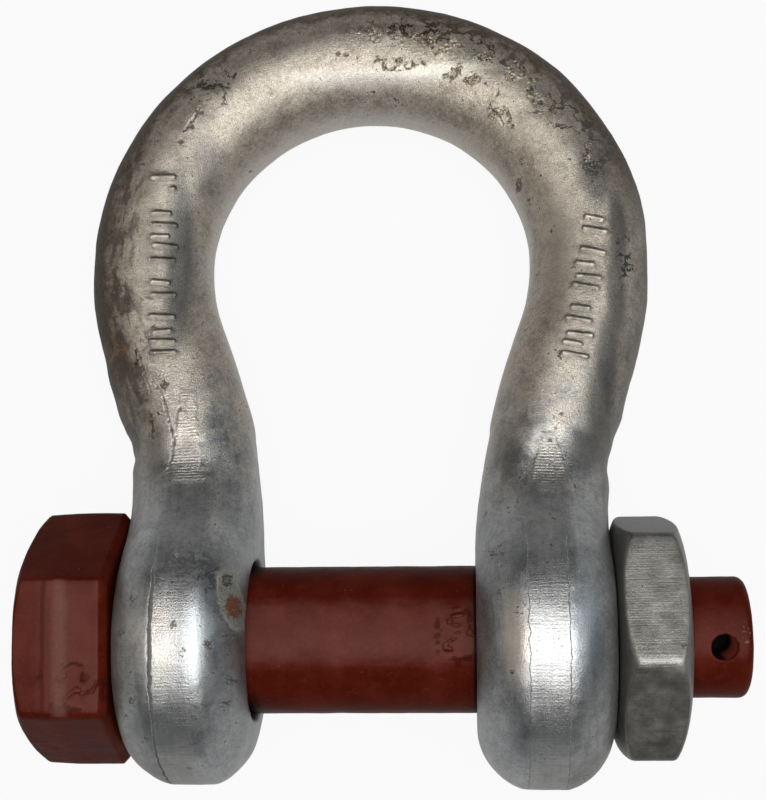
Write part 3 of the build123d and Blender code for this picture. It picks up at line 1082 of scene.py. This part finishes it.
def zincMaterial(solid):
    made, start, place = newMaterial("galvanisedForging")
    local = bowPlace(place)
    across = barAcross(local)
    offLine = across.absolute()
    u, v, n = local.parts()
    flat = start.joined(u, v)
    upper = n.step(-3.0, 2.0)
    normal = start.node("ShaderNodeNewGeometry", output=1)
    up = bowPlace(normal).parts()[2]
    cloud = local.noise(0.15, 5.0, 0.72, 13.0)
    speck = local.noise(0.8, 3.0, 0.65, 29.0)
    fine = local.noise(2.6, 2.0, 0.7, 43.0)
    waver = local.noise(0.3, 2.0, 0.5, 83.0)
    arc = v.maths("ARCTAN2", v, n) * zincSizes["rimRadius"]
    eye = 1 - (v + (cloud - 0.5) * 90).step(26.0, 90.0)
    tone = cloud * 0.5 + 0.25 + (fine - 0.5) * 0.6 + (speck - 0.5) * 0.4
    base = tones(tone, *zincTones["bow"])
    streaks = start.joined(across * 0.8, arc * 0.05).noise(1.0, 3.0, 0.6, 9.0)
    tone = cloud * 0.5 + streaks * 0.2 + 0.15 + (fine - 0.5) * 0.4 + (speck - 0.5) * 0.25
    base = base.mixed(tones(tone, *zincTones["eye"]), eye)
    # the soft spots: painted reflections, highlights and shade, and one dark smudge
    for pixel, reach, colour, share in paintedLightAndSmudges:
        base = base.mixed(colour, flat.near(flatSpot(solid, pixel), (*reach, 1.0)) * upper * share)
    # painted shade: darker zinc wherever the surface turns away from overhead; a painted reflection, lighter, on
    # the bar's inner side; and darker brown along the bow's outer side, painted shade together with brown staining
    inner = (across * -1).step(1.0, 7.0)
    turnedAwayShade = 1 - (up + (cloud - 0.5) * 0.5).step(0.35, 0.85)
    base = base.mixed(tones(tone, *zincTones["aside"]), turnedAwayShade * (0.75 - inner * 0.5 - eye * 0.1))
    # a painted reflection: lighter zinc on the bar's inner side where it turns down
    base = base.mixed(zincTones["inside"], inner * (1 - up.step(0.1, 0.5)) * (1 - eye) * 0.4)
    # darker brown along the bow's outer side: painted shade together with brown staining
    right = u.step(40.0, 70.0) * (1 - v.step(110.0, 150.0))
    outerShadeAndStainZone = (across + (cloud - 0.5) * 20).step(3.5, 12.5) * (1 - eye) * (1 - right * 0.7)
    base = base.mixed(tones(speck, *zincTones["outerShadeAndStain"]), outerShadeAndStainZone * (0.6 + n.step(-8.0, 4.0) * 0.35))
    # long dark mottles down the outside of the left leg
    grainy = start.joined(across * 0.32, v * 0.09, n * 0.1).noise(1.0, 5.0, 0.65, 91.0)
    mottled = flat.near((-78.0, 96.0, 0.0), (19.0, 74.0, 1.0)).step(0.0, 0.5) * upper
    mottled = mottled * (grainy + (speck - 0.5) * 0.3).step(0.49, 0.58)
    base = base.mixed(zincTones["mottle"], mottled * across.step(-2.0, 6.0) * 0.75)
    ragged = flat.warped(0.12, 16.0, 7.0).warped(0.7, 5.0, 19.0)
    for pixel, reach, colour, share in stainSpots:
        stain = ragged.near(flatSpot(solid, pixel), (*reach, 1.0)) * 1.6 + (cloud - 0.5) * 1.6 + (speck - 0.5) * 1.6
        base = base.mixed(colour, stain.step(0.3, 1.0) * upper * share)
    # crusts of scale under the zinc, with painted shade over the dark scale in their cracks and painted highlights
    # on the lips beside them
    crags = (local.noise(0.62, 4.0, 0.62, 57.0) - 0.5).absolute()
    zone = start.attribute("crust").step(0.08, 0.45)
    scale = (1 - crags.step(0.006, 0.034)) * zone
    lipHighlights = crags.step(0.05, 0.08) * (1 - crags.step(0.10, 0.14)) * zone
    base = base.mixed(tones(fine, *zincTones["crust"]), zone * 0.65)
    base = base.mixed(zincTones["lip"], lipHighlights * 0.6)
    base = base.mixed(zincTones["crackShade"], scale * 0.85)
    blots = (local.noise(0.42, 4.0, 0.7, 131.0) + (waver - 0.5) * 0.1).step(0.665, 0.72)
    base = base.mixed(zincTones["blot"], blots * 0.7)
    specks = [(flatSpot(solid, pixel), reach) for reach, pixels in speckSpots.items() for pixel in pixels]
    dots = flat.warped(0.8, 5.5, 3.0).nearest(specks)
    dots = (1 - (dots + (fine - 0.5) * 1.2).step(0.45, 1.0)) * upper
    base = base.mixed(zincTones["speck"], dots * 0.85)
    # painted shade round the bore of each eye
    hole = 1 - (v * v + n * n).step(*(radius**2 for radius in zincSizes["holeRadius"]))
    base = base.mixed(zincTones["hole"], hole * 0.92)
    # the band round each eye where the flash was trimmed, with a dark line of painted shade and a groove along its
    # side
    rim = (v * v + n * n).root().step(34.0, 38.0) * (1 - v.step(26.0, 34.0))
    left = u.maths("LESS_THAN", u, 0.0)
    edge = offLine + (waver - 0.5) * 1.5 + (fine - 0.5) * 0.5 - zincSizes["bandHalf"]
    width = 0.10 + left * 0.2 + v.step(18.0, 6.0) * v.step(-26.0, -10.0) * left * 0.25
    bandEdgeShade = (1 - (edge.absolute() / width).step(0.5, 1.4)) * rim * (1 - v.step(14.0, 30.0) * left)
    bandEdgeShade = bandEdgeShade * (1 - left * across.maths("LESS_THAN", across, 0.0)) * (0.55 + left * 0.4)
    band = (1 - edge.step(-0.5, 0.3)) * rim
    brush = start.joined(across * 0.1, arc * 1.9).noise(1.0, 2.0, 0.6, 5.0)
    base = base.mixed(zincTones["bandEdgeShade"], bandEdgeShade * 0.9)
    base = base.mixed(tones(brush, *zincTones["brushed"]), band * 0.22)
    marks = {name: start.attribute(name) for name in zincMarks}
    for name, (colour, share) in zincMarks.items():
        base = base.mixed(colour, marks[name] * share)
    close = flat.warped(0.5, 2.4, 23.0).warped(1.8, 1.0, 27.0)
    away = close.vector("SUBTRACT", close, flatSpot(solid, eyeScar["pixel"]))
    along, rise, _ = away.parts()
    away = start.joined(along + rise * eyeScar["lean"], rise)
    oval = away.vector("LENGTH", away.vector("DIVIDE", away, (*eyeScar["reach"], 1.0)), output=1)
    inside = (1 - oval.step(0.8, 1.0)) * upper
    ring = oval.step(0.74, 0.86) * (1 - oval.step(0.92, 1.04)) * upper
    spots = [(flatSpot(solid, pixel), reach) for pixel, reach in (eyeScar["rust"], eyeScar["hollow"])]
    rust, hollow = (close.near(spot, (*reach, 1.0)) * upper for spot, reach in spots)
    base = base.mixed(tones(fine, *zincTones["scar"]), inside * 0.85)
    base = base.mixed(zincTones["scarEdge"], ring * (cloud * 1.1 - 0.2))
    base = base.mixed(zincTones["scarHollow"], hollow.step(0.1, 0.6) * (1 - hollow.step(0.7, 1.0) * 0.5))
    rust = (rust + (speck - 0.5) * 2.0).step(0.1, 0.7) * rust.step(0.0, 0.2)
    base = base.mixed(tones(fine, *zincTones["rust"]), rust * 0.9)
    grime = scale.most(zone * 0.4)
    for mask in (blots, marks["pit"], marks["fold"], bandEdgeShade, inside, dots, hole):
        grime = grime.most(mask)
    roughness = 0.36 + (cloud - 0.5) * 0.24 + (fine - 0.5) * 0.16
    roughness = roughness + grime.most(turnedAwayShade * 0.4).most(outerShadeAndStainZone * 0.8) * 0.26
    metallic = 0.95 - grime.most(outerShadeAndStainZone * 0.75).most(turnedAwayShade * (1 - inner) * 0.4) * 0.75
    height = local.noise(2.2, 3.0, 0.7, 71.0) * (0.95 - eye * 0.45) + (brush - 0.5) * band * 0.3 - bandEdgeShade * 1.2
    sockets = {"Base Color": base, "Metallic": metallic, "Roughness": roughness, "Specular IOR Level": 0.15}
    finishMaterial(start, height, zincSizes["bumps"], sockets)
    return made


paintTones = {
    "plain": ((0.047, 0.0048, 0.0020), (0.062, 0.0072, 0.0030), (0.082, 0.0118, 0.0062)),
    # painted sheen, for the paint that faces up
    "facing": ((0.092, 0.028, 0.021), (0.112, 0.037, 0.029), (0.138, 0.050, 0.040)),
    "dust": (0.11, 0.030, 0.020),
    "fleck": (0.24, 0.15, 0.12),
    # painted shade on the wrinkles' sides and a painted highlight on their tops
    "wrinkleSideShade": (0.035, 0.006, 0.004),
    "wrinkleTopHighlight": (0.22, 0.11, 0.085),
    # painted shade in the split pin's hole
    "hole": (0.004, 0.002, 0.002),
    # painted light on the hole's wall towards the bolt's end
    "holeWall": (0.10, 0.018, 0.011),
    "chip": (0.34, 0.20, 0.15),
    # painted shade where the shank goes into the eyes
    "entryShade": (0.008, 0.003, 0.002),  # where the shank goes into the eyes
    # painted sheen in a strip across the head's flats
    "sheenStrip": (0.16, 0.085, 0.072),
    # painted shade along the line where the draft begins
    "draftLineShade": (0.052, 0.010, 0.006),
}


def paintMaterial():
    made, start, place = newMaterial("redBrownPaint")
    cloud = place.noise(0.09, 4.0)
    fine = place.noise(1.1, 4.0, 0.6, 17.0)
    base = tones(cloud + (fine - 0.5) * 0.2, *paintTones["plain"])
    dust = (place.noise(0.22, 5.0, 0.65, 31.0) + (fine - 0.5) * 0.5).step(0.5, 0.8)
    base = base.mixed(paintTones["dust"], dust * 0.22)
    flecks = (place.noise(0.75, 3.0, 0.6, 51.0) + (fine - 0.5) * 0.3).step(0.73, 0.77)
    base = base.mixed(paintTones["fleck"], flecks * 0.45)
    # painted sheen: lighter paint where the surface faces up, less so at the bolt's ends
    facing = bowPlace(start.node("ShaderNodeNewGeometry", output=1)).parts()[2]
    paintedSheen = tones(cloud * 0.6 + 0.2 + (fine - 0.5) * 0.3, *paintTones["facing"])
    low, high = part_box("bolt")
    along, height, up = bowPlace(place).parts()
    ends = along.step(88.0, 92.0) + (1 - along.step(-91.0, -86.0))
    base = base.mixed(paintedSheen, (facing + (cloud - 0.5) * 0.1).step(0.86, 0.99) * (0.75 - ends * 0.35))
    # the paint's wrinkles: painted shade on their sides and painted highlights on their tops
    wrinkle = start.attribute("wrinkle")
    base = base.mixed(paintTones["wrinkleSideShade"], wrinkle.step(0.02, 0.2) * (1 - wrinkle.step(0.3, 0.6)) * 0.7)
    wrinkleHighlights = wrinkle.step(0.6, 1.0) * (fine + (dust - 0.5) * 0.3).step(0.42, 0.6)
    base = base.mixed(paintTones["wrinkleTopHighlight"], wrinkleHighlights * 0.6)
    # painted shade deep in the split pin's hole, a painted lit wall on its side towards the bolt's end, and chips
    # beside it
    depth = 1 - (height * height + up * up).root() / boltSizes["rootRadius"]
    off = along - (high.x / mm - boltSizes["pinHoleToEnd"])
    hole = (1 - (off * off).step(18.0, 24.0)) * depth.step(0.08, 0.2) * (1 - depth.step(0.98, 1.0))
    hole = hole * off.step(-6.0, -5.5)
    base = base.mixed(paintTones["hole"], hole * 0.97)
    litWall = hole * off.step(0.6, 2.4) * (1 - depth.step(0.5, 0.8)) * facing.step(-0.4, 0.1)
    base = base.mixed(paintTones["holeWall"], litWall)
    chips = (off - 7.0).absolute().step(0.5, 2.4) + (height + 0.5).absolute().step(1.0, 5.5)
    chips = (1 - chips.step(0.0, 1.0)) * (fine + (dust - 0.3) * 0.2).step(0.54, 0.62) * facing.step(0.5, 0.9)
    base = base.mixed(paintTones["chip"], chips * 0.45)
    # painted shade where the shank goes into the eyes
    entryShade = along.step(30.0, 30.6).most((1 - along.step(-30.6, -29.8)) * (1 - facing.step(0.35, 0.75)))
    entryShade = entryShade * (1 - along.absolute().step(40.0, 41.0))
    base = base.mixed(paintTones["entryShade"], entryShade * 0.92)
    # a painted sheen in a strip across the head's flats, and painted shade along the line where the draft begins
    sheenStripShare = along - (low.x / mm + boltSizes["draftLength"] + 3.5 + (cloud - 0.5) * 3)
    lean = math.radians(boltSizes["headTurn"])
    onFlat = (up * math.cos(lean) + height * math.sin(lean)).step(30.5, 31.4)
    sheenStripShare = (1 - sheenStripShare.absolute().step(0.4, 3.0)) * onFlat * (0.5 + (dust + fine) * 0.5)
    base = base.mixed(paintTones["sheenStrip"], sheenStripShare * 0.55)
    draftLineShade = along - (low.x / mm + 9.0 + (cloud - 0.5) * 2.0)
    draftLineShade = (1 - draftLineShade.absolute().step(0.2, 1.1)) * onFlat
    base = base.mixed(paintTones["draftLineShade"], draftLineShade * 0.6)
    roughness = 0.36 + dust * 0.16 + (cloud - 0.5) * 0.2 + hole * 0.5
    sockets = {"Base Color": base, "Roughness": roughness, "Specular IOR Level": 0.02}
    finishMaterial(start, fine, (0.3, 0.0002), sockets)
    return made


nutTones = {
    "plain": ((0.17, 0.166, 0.153), (0.25, 0.246, 0.23), (0.36, 0.354, 0.333)),
    # painted shade for facets turned away from overhead
    "aside": ((0.062, 0.061, 0.056), (0.094, 0.092, 0.085), (0.14, 0.137, 0.127)),
    # painted highlight on the chamfers
    "bevel": (0.22, 0.216, 0.20),
    "fleck": (0.03, 0.026, 0.022),
}


def nutMaterial():
    made, start, place = newMaterial("dullZinc")
    cloud = place.noise(0.16, 4.0)
    fine = place.noise(1.4, 4.0, 0.6, 23.0)
    x, y, z = place.parts()
    lines = start.joined(x * 0.08, y * 2.4, z * 2.4).noise(1.0, 3.0, 0.6, 5.0)
    tone = cloud + (fine - 0.5) * 0.35 + (lines - 0.5) * 0.4
    base = tones(tone, *nutTones["plain"])
    # painted shade on the facets that turn away from overhead, and a painted highlight on the chamfers
    aside = start.node("ShaderNodeNewGeometry", output=1).parts()
    bevel = aside[0].absolute().step(0.35, 0.6)
    aside = 1 - (aside[2] + (cloud - 0.5) * 0.15).step(0.72, 0.9)
    base = base.mixed(tones(tone, *nutTones["aside"]), aside * 0.9)
    base = base.mixed(nutTones["bevel"], bevel * 0.6)
    flecks = (place.noise(0.7, 3.0, 0.6, 61.0) + (fine - 0.5) * 0.3).step(0.66, 0.72)
    base = base.mixed(nutTones["fleck"], flecks * 0.7)
    roughness = 0.44 + (cloud - 0.5) * 0.2 + (lines - 0.5) * 0.2
    sockets = {"Base Color": base, "Metallic": 0.7, "Roughness": roughness}
    finishMaterial(start, fine + lines, (0.35, 0.00025), sockets)
    return made


# Floor, lamps and world
studio = {
    "world": 0.08,
    "beyond": 0.95,  # the world as the camera sees it past the floor
    "floorHalf": 3.0,
    "floor": 0.35,  # the colour that takes the lamps and the shadow
    "white": (0.93, 0.55),  # the share of plain white over it, for the camera and for reflections
    "lamps": {  # place, aim, size in metres, watts and tint
        "overhead": ((0.12, -0.06, 1.05), (0, 0.07, 0), 0.95, 12.6, (1.0, 0.985, 0.96)),
        "left": ((-0.95, 0.1, 0.6), (0, 0.07, 0), 0.6, 1.2, (1.0, 0.88, 0.76)),
        "right": ((0.95, 0.25, 0.7), (0, 0.07, 0), 0.6, 1.4, (0.82, 0.92, 1.0)),
    },
}


def addFloor():
    ground = cadBounds[0][2]
    size = studio["floorHalf"]
    corners = [(-size, -size, ground), (size, -size, ground), (size, size, ground), (-size, size, ground)]
    floor = newPiece("floor", corners, faces=[(0, 1, 2, 3)])
    made, start, _ = newMaterial("whiteFloor")
    plain = start.node("ShaderNodeBsdfDiffuse", sockets={"Color": (*[studio["floor"]] * 3, 1)})
    seen = [start.node("ShaderNodeLightPath", output=i) for i in (0, 3, 6)]  # camera, glossy and transmission rays
    white = start.node("ShaderNodeEmission", sockets={"Color": (1, 1, 1, 1), "Strength": 1.0})
    share = (seen[0] * studio["white"][0]).most(seen[1].most(seen[2]) * studio["white"][1])
    both = start.node("ShaderNodeMixShader", sockets={0: share, 1: plain, 2: white})
    start.node("ShaderNodeOutputMaterial", sockets={0: both})
    floor.data.materials.append(made)


def addLights():
    scene = bpy.context.scene
    world = bpy.data.worlds.new("studio")
    scene.world = world
    world.use_nodes = True
    world.node_tree.nodes.clear()
    start = Wire(world.node_tree)
    seen = start.node("ShaderNodeLightPath", output=0)
    strength = seen * (studio["beyond"] - studio["world"]) + studio["world"]
    glow = start.node("ShaderNodeBackground", sockets={"Color": (1, 1, 1, 1), "Strength": strength})
    start.node("ShaderNodeOutputWorld", sockets={0: glow})
    for name, (place, aim, size, watts, tint) in studio["lamps"].items():
        data = bpy.data.lights.new(name, "AREA")
        data.shape = "DISK"
        data.size = size
        data.color = tint
        data.energy = watts
        lamp = bpy.data.objects.new(name, data)
        lamp.location = place
        lamp.rotation_euler = (Vector(aim) - Vector(place)).to_track_quat("-Z", "Y").to_euler()
        scene.collection.objects.link(lamp)
    scene.view_settings.view_transform = "Standard"


def dress(piece, body, replaced=None):
    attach(piece, body)
    if replaced:
        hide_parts(replaced)
    piece.data.update()
    print(piece.name, sum(len(face.vertices) - 2 for face in piece.data.polygons), "triangles")


addCamera()
print("camera set")
bowMesh, bowShape = bowSolid()
dress(bowSkin(bowMesh, bowShape, zincMaterial(bowShape)), "bow", "bow")

paint, dullZinc, worn = paintMaterial(), nutMaterial(), wornTree()
dress(runTree(boltBody(), worn, {**wornSizes["bolt"], "Material": paint}), "bolt", "bolt")
dress(runTree(nutBody(), worn, {**wornSizes["nut"], "Material": dullZinc}), "nut", "nut")

screw = threadTree()
dress(addThread("boltThread", screw, threadSizes["bolt"], paint), "bolt")
dress(addThread("nutThread", screw, threadSizes["nut"], dullZinc), "nut")
addFloor()
addLights()
